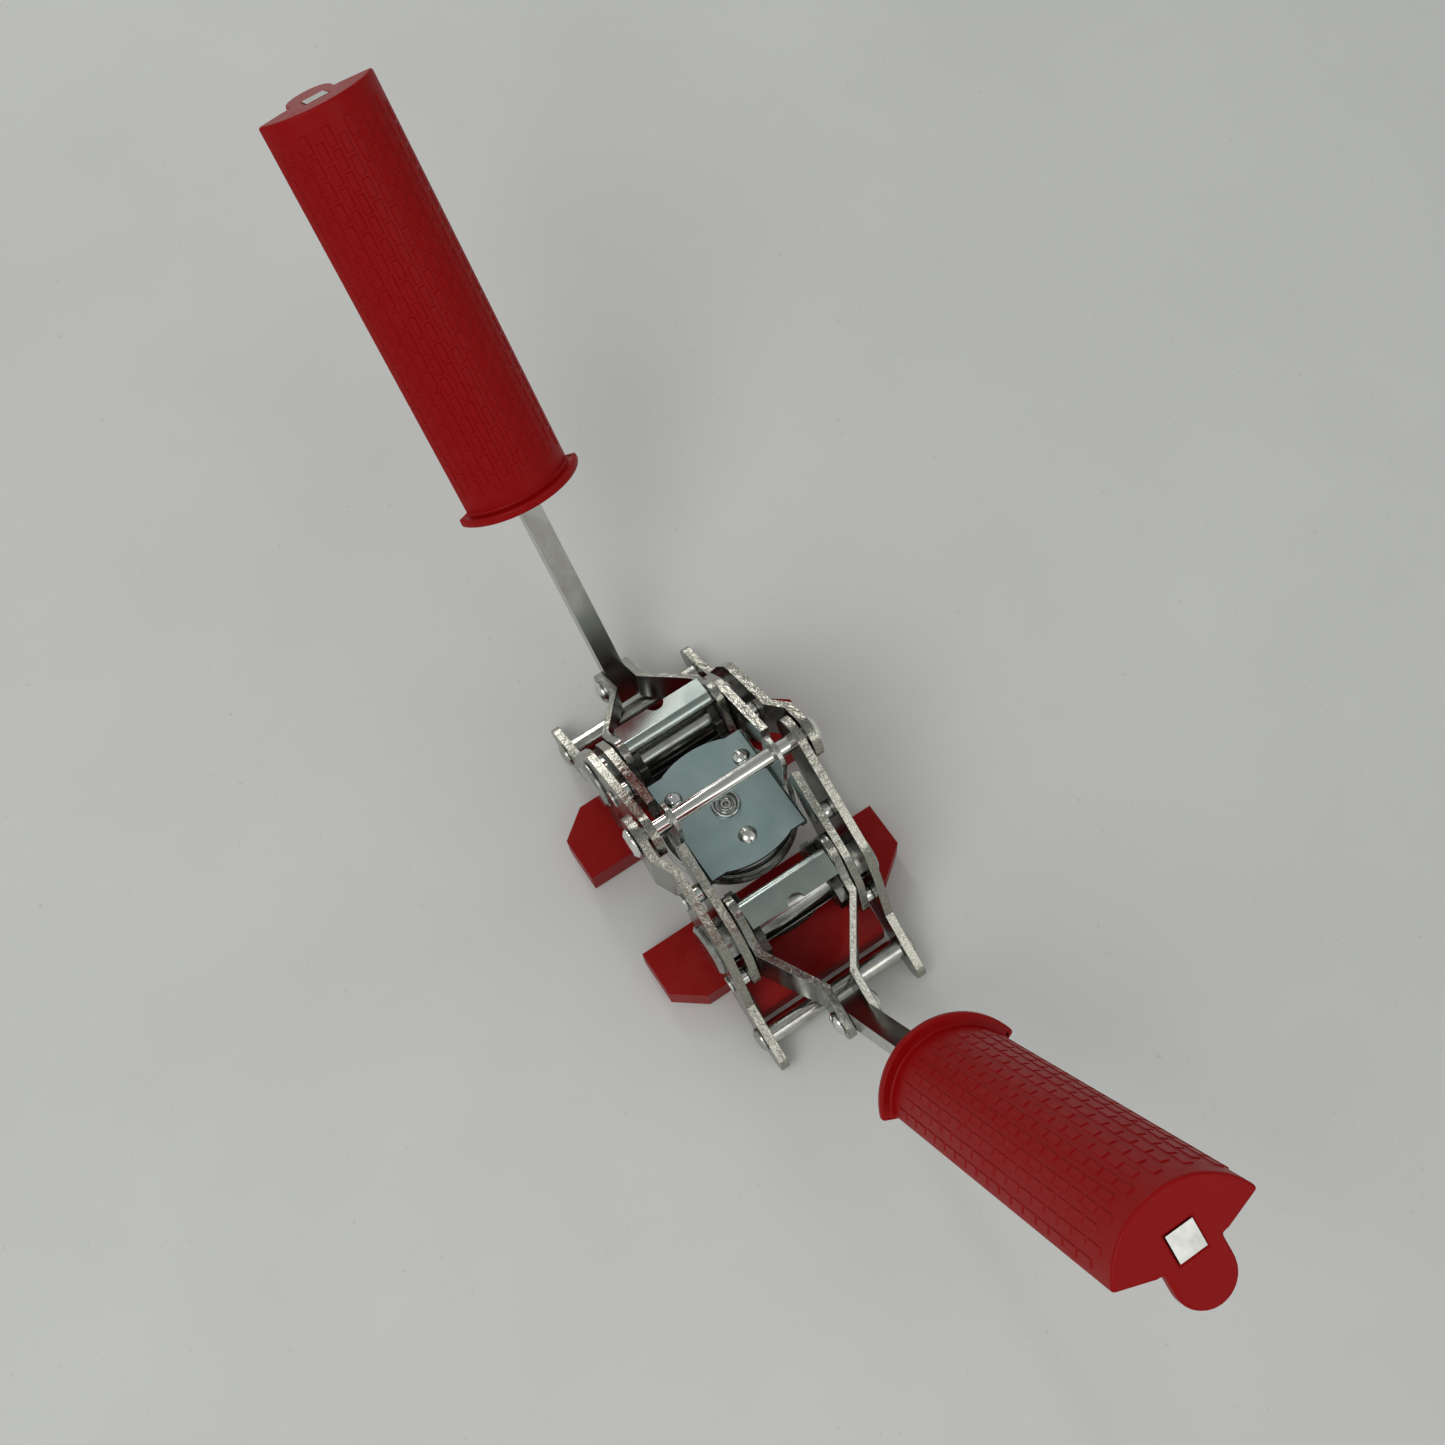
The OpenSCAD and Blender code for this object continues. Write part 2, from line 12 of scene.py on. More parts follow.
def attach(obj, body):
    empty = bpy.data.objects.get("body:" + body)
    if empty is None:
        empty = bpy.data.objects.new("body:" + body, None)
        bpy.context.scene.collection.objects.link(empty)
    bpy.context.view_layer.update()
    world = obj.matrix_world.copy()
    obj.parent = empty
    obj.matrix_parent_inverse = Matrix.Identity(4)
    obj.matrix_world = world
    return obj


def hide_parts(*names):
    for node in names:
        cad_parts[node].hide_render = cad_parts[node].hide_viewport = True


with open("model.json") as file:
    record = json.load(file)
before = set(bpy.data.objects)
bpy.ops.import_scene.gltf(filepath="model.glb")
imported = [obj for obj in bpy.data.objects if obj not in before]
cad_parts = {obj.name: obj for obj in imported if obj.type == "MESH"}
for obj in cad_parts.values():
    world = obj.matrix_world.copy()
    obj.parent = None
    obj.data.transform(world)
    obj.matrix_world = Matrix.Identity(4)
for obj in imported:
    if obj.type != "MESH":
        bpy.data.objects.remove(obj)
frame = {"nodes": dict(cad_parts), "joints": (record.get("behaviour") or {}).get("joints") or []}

LOG = logging.getLogger("winch")
MM = 0.001
SAME_PLACE = 1e-6
FLAT_ANGLE = math.radians(0.6)
BLOCK_TAPER = (0.86, 0.72, 1.0)
Pair = tuple[float, float]
Triple = tuple[float, float, float]
Colour = Triple
Outline = tuple[Pair, ...]


class Facing(Enum):
    """The way a plate's two broad faces look, as a unit vector in the row frame."""

    ACROSS = (0.0, 1.0, 0.0)
    UP = (0.0, 0.0, 1.0)


def joint(name: str) -> dict:
    """The record of the joint of that name."""
    return next(j for j in frame["joints"] if j["name"] == name)


def swivel_axis() -> Matrix:
    """The shift from the origin to the swivel's axis on the ground."""
    return Matrix.Translation((joint("turntable_spin")["pos_m"][0], 0.0, 0.0))


class Unit(Enum):
    """One ratchet unit: its name and the side of the swivel that it stands on."""

    FRONT = ("front", 1)
    REAR = ("rear", -1)

    @property
    def label(self) -> str:
        """The unit's name, which its nodes and bodies start with."""
        return self.value[0]

    @property
    def side(self) -> int:
        """1 for the unit on +X, -1 for the one on -X."""
        return self.value[1]

    def node(self, name: str) -> str:
        """Name of one of the unit's CAD nodes."""
        return f"{self.label}_{name}"

    def joint(self, name: str) -> dict:
        """The record of one of the unit's joints."""
        return joint(self.node(name))

    def to_row(self) -> Matrix:
        """The place of a shape drawn for the +X side of a swivel that stands at the origin."""
        return swivel_axis() @ Matrix.Rotation(0.0 if self.side > 0 else math.pi, 4, "Z")


# ---- node trees ----


class Tree:
    """Short calls for building one node tree."""

    def __init__(self, tree: bpy.types.NodeTree) -> None:
        """Wraps a tree and empties it.

        Args:
            tree: The node tree to build in.
        """
        self.tree = tree
        tree.nodes.clear()

    def add(self, kind: str, *sources: object, **settings: object) -> bpy.types.Node:
        """Adds a node, sets its properties and fills its inputs in order.

        Args:
            kind: The node's bl_idname.
            sources: For each input in turn a socket to link, a value, or None to leave it.
            settings: Properties of the node.

        Returns:
            The new node.
        """
        node = self.tree.nodes.new(kind)
        for name, value in settings.items():
            setattr(node, name, value)
        for socket, source in zip(node.inputs, sources):
            self.feed(socket, source)
        return node

    def feed(self, socket: bpy.types.NodeSocket, source: object) -> None:
        """Links a socket to an output, or sets its value.

        Args:
            socket: The input to fill.
            source: An output to link, a value to set, or None to leave the input as it is.
        """
        if isinstance(source, bpy.types.NodeSocket):
            self.tree.links.new(source, socket)
        elif source is not None:
            socket.default_value = source

    def maths(self, operation: str, *sources: object, clamp: bool = False) -> bpy.types.NodeSocket:
        """Adds a Math node and returns its output."""
        return self.add("ShaderNodeMath", *sources, operation=operation, use_clamp=clamp).outputs[0]

    def vector(self, operation: str, *sources: object) -> bpy.types.Node:
        """Adds a Vector Math node."""
        return self.add("ShaderNodeVectorMath", *sources, operation=operation)

    def ramp(self, source: object, low: float, high: float) -> bpy.types.NodeSocket:
        """Adds a clamped rise from 0 at low to 1 at high."""
        return self.add("ShaderNodeMapRange", source, low, high, 0.0, 1.0, clamp=True).outputs[0]

    def blend(self, factor: object, low: object, high: object) -> bpy.types.NodeSocket:
        """Mixes two colours.

        Args:
            factor: Socket or value of the mix.
            low: Colour at 0, a socket or three numbers.
            high: Colour at 1, a socket or three numbers.

        Returns:
            The mixed colour's socket.
        """
        node = self.add("ShaderNodeMix", data_type="RGBA", clamp_factor=True)
        self.feed(node.inputs[0], factor)
        for socket, colour in ((node.inputs[6], low), (node.inputs[7], high)):
            self.feed(socket, colour if isinstance(colour, bpy.types.NodeSocket) else (*colour, 1.0))
        return node.outputs[2]

    def noise(self, vector: object, scale: object, detail: float = 3.0,
              roughness: float = 0.55) -> bpy.types.NodeSocket:
        """Adds a noise texture.

        Args:
            vector: Coordinates to read it at.
            scale: Waves to the metre.
            detail: Layers of finer noise.
            roughness: Share that each finer layer keeps.

        Returns:
            The noise's value.
        """
        node = self.add("ShaderNodeTexNoise")
        for name, source in (("Vector", vector), ("Scale", scale), ("Detail", detail), ("Roughness", roughness)):
            self.feed(node.inputs[name], source)
        return node.outputs[0]


def group(name: str, inputs: dict[str, object],
          outputs: tuple[str, ...]) -> tuple[bpy.types.NodeTree, Tree, bpy.types.Node, bpy.types.Node]:
    """Starts a shader node group.

    Args:
        name: The group's name.
        inputs: Name and default of each input; a tuple makes a vector.
        outputs: Names of the float outputs.

    Returns:
        The node tree, its builder, the group's input node and its output node.
    """
    nodes = bpy.data.node_groups.new(name, "ShaderNodeTree")
    tree = Tree(nodes)
    for label, value in inputs.items():
        kind = "NodeSocketVector" if isinstance(value, tuple) else "NodeSocketFloat"
        nodes.interface.new_socket(label, in_out="INPUT", socket_type=kind).default_value = value
    for label in outputs:
        nodes.interface.new_socket(label, in_out="OUTPUT", socket_type="NodeSocketFloat")
    return nodes, tree, tree.add("NodeGroupInput"), tree.add("NodeGroupOutput")


class Effects:
    """The shader node groups that several finishes share, each built once.

    A pair of limits says where a mask begins to rise and where it is full.
    """

    rim_limits: Pair = (0.8, 0.45)
    tear_limits: Pair = (0.48, 0.6)
    wave_share: float = 0.24
    cloud_limits: Pair = (0.35, 0.68)
    spangle_limits: Pair = (0.42, 0.66)
    cloud_height: float = 0.8
    worn_limits: Pair = (0.4, 0.65)
    worn_scale: float = 160.0

    def __init__(self) -> None:
        """Builds the three groups."""
        self.rim = self._rim()
        self.plating = self._plating()
        self.lines = self._lines()

    def _rim(self) -> bpy.types.NodeTree:
        """Group that finds a plate's sheared rim from the way the surface looks.

        Returns:
            The group: Mask is 1 on the rim, the tear output adds the coarse tear along it, which a plated rim's
                colour also uses for painted glints, Waves its slow unevenness.
        """
        inputs = {"Point": (0.0, 0.0, 0.0), "Normal": (0.0, 0.0, 1.0), "Facing": (0.0, 1.0, 0.0), "Grain": 2300.0}
        nodes, tree, given, result = group("sheared_rim", inputs, ("Mask", "Torn And Glint", "Waves"))
        facing = tree.vector("DOT_PRODUCT", given.outputs["Normal"], given.outputs["Facing"]).outputs["Value"]
        mask = tree.ramp(tree.maths("ABSOLUTE", facing), *self.rim_limits)
        tear = tree.noise(given.outputs["Point"], given.outputs["Grain"], 4.0, 0.7)
        tree.feed(result.inputs["Mask"], mask)
        tree.feed(result.inputs["Torn And Glint"], tree.maths("MULTIPLY", mask, tree.ramp(tear, *self.tear_limits)))
        coarse = tree.maths("MULTIPLY", given.outputs["Grain"], self.wave_share)
        waves = tree.noise(given.outputs["Point"], coarse, 2.0, 0.5)
        tree.feed(result.inputs["Waves"], tree.maths("MULTIPLY", mask, waves))
        return nodes

    def _plating(self) -> bpy.types.NodeTree:
        """Group for zinc plating: broad clouds, fine spangle and small pits.

        Returns:
            The group with Cloud, Spangle and Height outputs.
        """
        inputs = {"Point": (0.0, 0.0, 0.0), "Cloud Scale": 90.0, "Spangle Scale": 1400.0}
        nodes, tree, given, result = group("zinc_plating", inputs, ("Cloud", "Spangle", "Height"))
        cloud = tree.noise(given.outputs["Point"], given.outputs["Cloud Scale"], 3.0, 0.6)
        spangle = tree.noise(given.outputs["Point"], given.outputs["Spangle Scale"], 2.0, 0.6)
        tree.feed(result.inputs["Cloud"], tree.ramp(cloud, *self.cloud_limits))
        tree.feed(result.inputs["Spangle"], tree.ramp(spangle, *self.spangle_limits))
        swell = tree.maths("MULTIPLY", cloud, self.cloud_height)
        tree.feed(result.inputs["Height"], tree.maths("ADD", spangle, swell))
        return nodes

    def _lines(self) -> bpy.types.NodeTree:
        """Group for drawing and turning lines: noise squeezed along one direction.

        Returns:
            The group: Lines is the fine streak, Worn a slow change along it.
        """
        inputs = {"Point": (0.0, 0.0, 0.0), "Stretch": (1.0, 0.05, 1.0), "Scale": 2600.0}
        nodes, tree, given, result = group("drawn_lines", inputs, ("Lines", "Worn"))
        squeezed = tree.vector("MULTIPLY", given.outputs["Point"], given.outputs["Stretch"]).outputs["Vector"]
        tree.feed(result.inputs["Lines"], tree.noise(squeezed, given.outputs["Scale"], 2.0, 0.5))
        slow = tree.noise(given.outputs["Point"], self.worn_scale, 3.0, 0.6)
        tree.feed(result.inputs["Worn"], tree.ramp(slow, *self.worn_limits))
        return nodes


@dataclass
class Surface:
    """A material under construction: its tree, shader and coordinates."""

    material: bpy.types.Material
    tree: Tree
    shader: bpy.types.Node
    point: bpy.types.NodeSocket
    normal: bpy.types.NodeSocket

    @classmethod
    def start(cls, name: str, metallic: float, roughness: float) -> "Surface":
        """Makes an empty material.

        Args:
            name: The material's name.
            metallic: 1 for bare or plated metal, 0 for plastic.
            roughness: The shader's roughness where nothing feeds it.

        Returns:
            The surface to build on.
        """
        material = bpy.data.materials.new(name)
        material.use_nodes = True
        tree = Tree(material.node_tree)
        out = tree.add("ShaderNodeOutputMaterial")
        shader = tree.add("ShaderNodeBsdfPrincipled")
        tree.feed(out.inputs["Surface"], shader.outputs[0])
        shader.inputs["Metallic"].default_value = metallic
        shader.inputs["Roughness"].default_value = roughness
        place = tree.add("ShaderNodeTexCoord")
        return cls(material, tree, shader, place.outputs["Object"], place.outputs["Normal"])

    def use(self, nodes: bpy.types.NodeTree, **inputs: object) -> bpy.types.Node:
        """Places a node group.

        Args:
            nodes: The group's tree.
            inputs: Values or sockets by input name, with _ for a space.

        Returns:
            The group's node.
        """
        node = self.tree.add("ShaderNodeGroup", node_tree=nodes)
        self.tree.feed(node.inputs["Point"], self.point)
        for label, source in inputs.items():
            self.tree.feed(node.inputs[label.replace("_", " ")], source)
        return node

    def relief(self, height: bpy.types.NodeSocket, depth: float, strength: float = 1.0) -> None:
        """Feeds the shader's normal from a height.

        Args:
            height: The height, in shares of the depth.
            depth: Depth of one whole height in metres.
            strength: How much of the relief counts.
        """
        bump = self.tree.add("ShaderNodeBump")
        bump.inputs["Strength"].default_value = strength
        bump.inputs["Distance"].default_value = depth
        self.tree.feed(bump.inputs["Height"], height)
        self.tree.feed(self.shader.inputs["Normal"], bump.outputs[0])


# ---- finishes ----


@dataclass(frozen=True)
class Plated:
    """Zinc plated sheet: clouded faces and a brighter, torn rim, whose torn spots are also brightened as painted
    glints.
    """

    name: str
    face: Colour
    cloud: Colour
    rim: Colour
    facing: Facing = Facing.ACROSS
    roughness: float = 0.2
    rim_roughness: float = 0.2
    spangle: float = 0.1
    spangle_gain: float = 1.35
    torn_share: float = 0.62
    cloud_roughness: float = 0.1
    calm_height: float = 0.25
    torn_height: float = 0.3
    wave_height: float = 10.0
    relief_depth: float = 0.00003
    relief_share: float = 0.6

    def build(self, effects: Effects) -> bpy.types.Material:
        """Makes the material.

        Args:
            effects: The shared node groups.

        Returns:
            The material.
        """
        surface = Surface.start(self.name, 1.0, self.roughness)
        tree = surface.tree
        rim = surface.use(effects.rim, Normal=surface.normal, Facing=self.facing.value)
        plating = surface.use(effects.plating)
        clouded = tree.blend(plating.outputs["Cloud"], self.face, self.cloud)
        paler = tuple(min(1.0, c * self.spangle_gain) for c in self.face)
        spangled = tree.blend(tree.maths("MULTIPLY", plating.outputs["Spangle"], self.spangle), clouded, paler)
        # Away from the torn spots the rim colour is dimmed, so the torn spots show the real tear and also painted
        # glints.
        edge = tree.blend(rim.outputs["Torn And Glint"], tuple(c * self.torn_share for c in self.rim), self.rim)
        tree.feed(surface.shader.inputs["Base Color"], tree.blend(rim.outputs["Mask"], spangled, edge))
        rough = tree.maths("MULTIPLY_ADD", plating.outputs["Cloud"], self.cloud_roughness, self.roughness)
        gain = tree.maths("MULTIPLY", rim.outputs["Mask"], self.rim_roughness - self.roughness)
        tree.feed(surface.shader.inputs["Roughness"], tree.maths("ADD", rough, gain))
        calm = tree.maths("MULTIPLY", plating.outputs["Height"], self.calm_height)
        torn = tree.maths("MULTIPLY_ADD", rim.outputs["Torn And Glint"], self.torn_height, calm)
        height = tree.maths("MULTIPLY_ADD", rim.outputs["Waves"], self.wave_height, torn)
        surface.relief(height, self.relief_depth, self.relief_share)
        return surface.material


@dataclass(frozen=True)
class Drawn:
    """Bright drawn or turned steel with fine lines and slow wear."""

    name: str
    colour: Colour
    worn: Colour
    stretch: Triple = (1.0, 0.05, 1.0)
    roughness: float = 0.2
    mottling: float = 0.0
    bright_gain: float = 1.3
    worn_roughness: float = 0.07
    spot_scale: float = 520.0
    spot_height: float = 6.0
    relief_depth: float = 0.000012
    relief_share: float = 0.4

    def build(self, effects: Effects) -> bpy.types.Material:
        """Makes the material.

        Args:
            effects: The shared node groups.

        Returns:
            The material.
        """
        surface = Surface.start(self.name, 1.0, self.roughness)
        tree = surface.tree
        lines = surface.use(effects.lines, Stretch=self.stretch)
        plating = surface.use(effects.plating, Spangle_Scale=self.spot_scale)
        base = tree.blend(lines.outputs["Worn"], self.colour, self.worn)
        bright = tuple(min(1.0, c * self.bright_gain) for c in self.colour)
        spotted = tree.blend(tree.maths("MULTIPLY", plating.outputs["Spangle"], self.mottling), base, bright)
        tree.feed(surface.shader.inputs["Base Color"], spotted)
        rough = tree.maths("MULTIPLY_ADD", lines.outputs["Worn"], self.worn_roughness, self.roughness)
        tree.feed(surface.shader.inputs["Roughness"], rough)
        spots = tree.maths("MULTIPLY", plating.outputs["Spangle"], self.mottling * self.spot_height)
        height = tree.maths("ADD", lines.outputs["Lines"], spots)
        surface.relief(height, self.relief_depth, self.relief_share)
        return surface.material


@dataclass(frozen=True)
class Turned:
    """A pressed and turned disc: light and dark rings round the swivel's axis; on the race they are turning lines, on
    the stud the dark rings are painted shade in its grooves.
    """

    name: str
    colour: Colour
    groove: Colour
    ring_pitch: float = 0.0006
    roughness: float = 0.22
    contrast: float = 0.25
    ring_base: float = 0.05
    cloud_share: float = 0.3
    cloud_roughness: float = 0.1
    relief_depth: float = 0.00002
    relief_share: float = 0.5

    def build(self, effects: Effects) -> bpy.types.Material:
        """Makes the material.

        Args:
            effects: The shared node groups.

        Returns:
            The material.
        """
        surface = Surface.start(self.name, 1.0, self.roughness)
        tree = surface.tree
        centred = tree.vector("SUBTRACT", surface.point, tuple(swivel_axis().translation)).outputs["Vector"]
        flat = tree.vector("MULTIPLY", centred, (1.0, 1.0, 0.0)).outputs["Vector"]
        radius = tree.vector("LENGTH", flat).outputs["Value"]
        rings = tree.maths("SINE", tree.maths("MULTIPLY", radius, 2.0 * math.pi / self.ring_pitch))
        plating = surface.use(effects.plating)
        # Dark rings by radius; on the stud they are painted shade in its grooves, on the race turning lines.
        shade = tree.maths("MULTIPLY_ADD", rings, self.contrast, self.contrast + self.ring_base)
        base = tree.blend(shade, self.colour, self.groove)
        clean = tree.maths("MULTIPLY", plating.outputs["Cloud"], self.cloud_share)
        tree.feed(surface.shader.inputs["Base Color"], tree.blend(clean, base, self.colour))
        rough = tree.maths("MULTIPLY_ADD", plating.outputs["Cloud"], self.cloud_roughness, self.roughness)
        tree.feed(surface.shader.inputs["Roughness"], rough)
        height = tree.maths("ADD", rings, plating.outputs["Height"])
        surface.relief(height, self.relief_depth, self.relief_share)
        return surface.material


@dataclass(frozen=True)
class Moulded:
    """Red moulded plastic: semi-gloss with a faint uneven skin and dusty rubbing."""

    name: str
    colour: Colour
    rubbed: Colour
    roughness: float = 0.38
    grain: float = 0.00002
    grain_share: float = 0.5
    ior: float = 1.49
    gloss: float = 0.12
    cloud_scale: float = 45.0
    skin_scale: float = 1800.0
    rub_scale: float = 700.0
    rub_stretch: Triple = (0.4, 1.0, 0.4)
    rub_roughness: float = 0.14

    def build(self, effects: Effects) -> bpy.types.Material:
        """Makes the material.

        Args:
            effects: The shared node groups.

        Returns:
            The material.
        """
        surface = Surface.start(self.name, 0.0, self.roughness)
        tree = surface.tree
        surface.shader.inputs["IOR"].default_value = self.ior
        surface.shader.inputs["Specular IOR Level"].default_value = self.gloss
        skin = surface.use(effects.plating, Cloud_Scale=self.cloud_scale, Spangle_Scale=self.skin_scale)
        wear = surface.use(effects.lines, Stretch=self.rub_stretch, Scale=self.rub_scale)
        rubbed = tree.maths("MULTIPLY", wear.outputs["Worn"], skin.outputs["Cloud"])
        tree.feed(surface.shader.inputs["Base Color"], tree.blend(rubbed, self.colour, self.rubbed))
        rough = tree.maths("MULTIPLY_ADD", rubbed, self.rub_roughness, self.roughness)
        tree.feed(surface.shader.inputs["Roughness"], rough)
        height = tree.maths("ADD", skin.outputs["Height"], wear.outputs["Lines"])
        surface.relief(height, self.grain, self.grain_share)
        return surface.material


class Finishes:
    """Every material of the winch by name."""

    def __init__(self) -> None:
        """Builds the shared groups and the materials."""
        effects = Effects()
        made = (
            Plated("side_plate_zinc", (0.27, 0.28, 0.265), (0.35, 0.35, 0.30), (0.50, 0.49, 0.42),
                   rim_roughness=0.15),
            Plated("liner_zinc", (0.20, 0.21, 0.20), (0.26, 0.255, 0.22), (0.50, 0.49, 0.42), rim_roughness=0.15),
            Plated("arm_zinc", (0.24, 0.25, 0.24), (0.31, 0.31, 0.27), (0.46, 0.455, 0.40),
                   roughness=0.18, rim_roughness=0.13),
            Plated("pawl_zinc", (0.36, 0.42, 0.40), (0.44, 0.48, 0.43), (0.52, 0.56, 0.52),
                   Facing.UP, 0.15, 0.15, 0.05),
            Plated("swivel_zinc", (0.40, 0.53, 0.525), (0.46, 0.57, 0.56), (0.50, 0.58, 0.58), Facing.UP, 0.34, 0.34),
            Plated("hanger_zinc", (0.30, 0.33, 0.32), (0.38, 0.39, 0.36), (0.66, 0.66, 0.60)),
            Drawn("rod_bright", (0.78, 0.78, 0.74), (0.66, 0.65, 0.60), roughness=0.07),
            Drawn("bar_bright", (0.50, 0.51, 0.48), (0.42, 0.42, 0.38), (0.05, 1.0, 0.05), 0.2),
            Drawn("rivet_bright", (0.74, 0.76, 0.74), (0.62, 0.62, 0.57), (1.0, 0.6, 1.0), 0.12, 0.0),
            Drawn("bolt_mottled", (0.55, 0.55, 0.50), (0.36, 0.35, 0.31), (1.0, 0.2, 1.0), 0.18, 0.35),
            Drawn("spindle_steel", (0.40, 0.41, 0.39), (0.30, 0.30, 0.27), roughness=0.16),
            Drawn("hardened_steel", (0.16, 0.16, 0.15), (0.12, 0.12, 0.11), (1.0, 0.3, 1.0), 0.26),
            Turned("race_turned", (0.48, 0.48, 0.46), (0.20, 0.19, 0.18), roughness=0.15),
            # The stud's dark ring colour is painted shade in the grooves of its turned top.
            Turned("stud_turned", (0.80, 0.81, 0.78), (0.10, 0.10, 0.095), 0.00135, 0.16, 0.45),
            Moulded("grip_red", (0.27, 0.001, 0.0015), (0.28, 0.003, 0.0035)),
            Moulded("slide_red", (0.25, 0.006, 0.005), (0.27, 0.012, 0.010), 0.42),
        )
        self.by_name = {finish.name: finish.build(effects) for finish in made}

    def __getitem__(self, name: str) -> bpy.types.Material:
        """The material of that name."""
        return self.by_name[name]


# ---- shapes ----


def prism(name: str, outline: Outline | list[Pair], low: float, high: float, place: Matrix,
          flat: bool = False) -> bpy.types.Object:
    """Makes a closed prism. Sizes in mm.

    Args:
        name: Name of the object.
        outline: Corners, anticlockwise: X and Z of a shape that runs along Y, or X and Y of a flat one.
        low: Where it begins along its own direction.
        high: Where it ends.
        place: Its place in the row frame.
        flat: True for a shape drawn in X and Y that runs up.

    Returns:
        The object.
    """
    shape = bmesh.new()
    rings = []
    for w in (low, high):
        corners = [(x * MM, v * MM, w * MM) if flat else (x * MM, w * MM, v * MM) for x, v in outline]
        rings.append([shape.verts.new(corner) for corner in corners])
    shape.faces.new(rings[0])
    shape.faces.new(rings[1][::-1])
    for i in range(len(outline)):
        j = (i + 1) % len(outline)
        shape.faces.new((rings[0][j], rings[0][i], rings[1][i], rings[1][j]))
    bmesh.ops.recalc_face_normals(shape, faces=shape.faces)
    mesh = bpy.data.meshes.new(name)
    shape.to_mesh(mesh)
    shape.free()
    mesh.transform(place)
    piece = bpy.data.objects.new(name, mesh)
    bpy.context.collection.objects.link(piece)
    return piece


def carve(base: bpy.types.Object, steps: list[tuple[str, bpy.types.Object]]) -> bpy.types.Mesh:
    """Joins shapes to a closed shape or cuts them out of it, and removes all the objects.

    Args:
        base: The shape to start from.
        steps: Pairs of "UNION" or "DIFFERENCE" and the shape to use.

    Returns:
        The resulting mesh.
    """
    for index, (operation, other) in enumerate(steps):
        cut = base.modifiers.new(f"step_{index}", "BOOLEAN")
        cut.operation = operation
        cut.solver = "EXACT"
        cut.object = other
    evaluated = base.evaluated_get(bpy.context.evaluated_depsgraph_get())
    mesh = bpy.data.meshes.new_from_object(evaluated)
    for piece in (base, *(other for _, other in steps)):
        bpy.data.objects.remove(piece)
    return mesh


def soften(node: str, material: bpy.types.Material, body: str, width: float = 0.25,
           angle: float = 28.0, mesh: bpy.types.Mesh | None = None) -> bpy.types.Object:
    """Replaces a CAD node by a copy whose sharp edges are broken, so that they catch the light.

    Args:
        node: Name of the CAD node.
        material: The copy's material.
        body: The CAD body that it rides on.
        width: Width of the broken edge in mm.
        angle: Edges sharper than this, in degrees, are broken.
        mesh: A mesh of its own for the piece instead of a copy of the node's.

    Returns:
        The new piece.
    """
    mesh = mesh or frame["nodes"][node].data.copy()
    mesh.name = f"{node}_soft"
    if mesh.has_custom_normals:
        mesh.attributes.remove(mesh.attributes["custom_normal"])
    shape = bmesh.new()
    shape.from_mesh(mesh)
    bmesh.ops.remove_doubles(shape, verts=shape.verts, dist=SAME_PLACE)
    bmesh.ops.dissolve_limit(shape, angle_limit=FLAT_ANGLE, verts=shape.verts, edges=shape.edges)
    for face in shape.faces:
        face.smooth = True
    for edge in shape.edges:
        edge.smooth = edge.is_manifold and edge.calc_face_angle(0.0) < math.radians(angle)
    shape.to_mesh(mesh)
    shape.free()
    mesh.materials.clear()
    mesh.materials.append(material)
    piece = bpy.data.objects.new(f"{node}_dressed", mesh)
    bpy.context.collection.objects.link(piece)
    bevel = piece.modifiers.new("broken_edge", "BEVEL")
    bevel.width = width * MM
    bevel.segments = 2
    bevel.limit_method = "ANGLE"
    bevel.angle_limit = math.radians(angle)
    bevel.harden_normals = True
    bevel.use_clamp_overlap = True
    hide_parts(node)
    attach(piece, body)
    LOG.info("%s dressed in %s", node, material.name)
    return piece


def baked(piece: bpy.types.Object, name: str, place: Matrix) -> bpy.types.Object:
    """Turns an object with a Geometry Nodes modifier into a plain mesh object at the origin.

    Args:
        piece: The object that carries the modifier; it is removed.
        name: The new object's name.
        place: Where the shape goes in the row frame.

    Returns:
        The new object.
    """
    evaluated = piece.evaluated_get(bpy.context.evaluated_depsgraph_get())
    mesh = bpy.data.meshes.new_from_object(evaluated)
    mesh.transform(place)
    bpy.data.objects.remove(piece)
    result = bpy.data.objects.new(name, mesh)
    bpy.context.collection.objects.link(result)
    return result


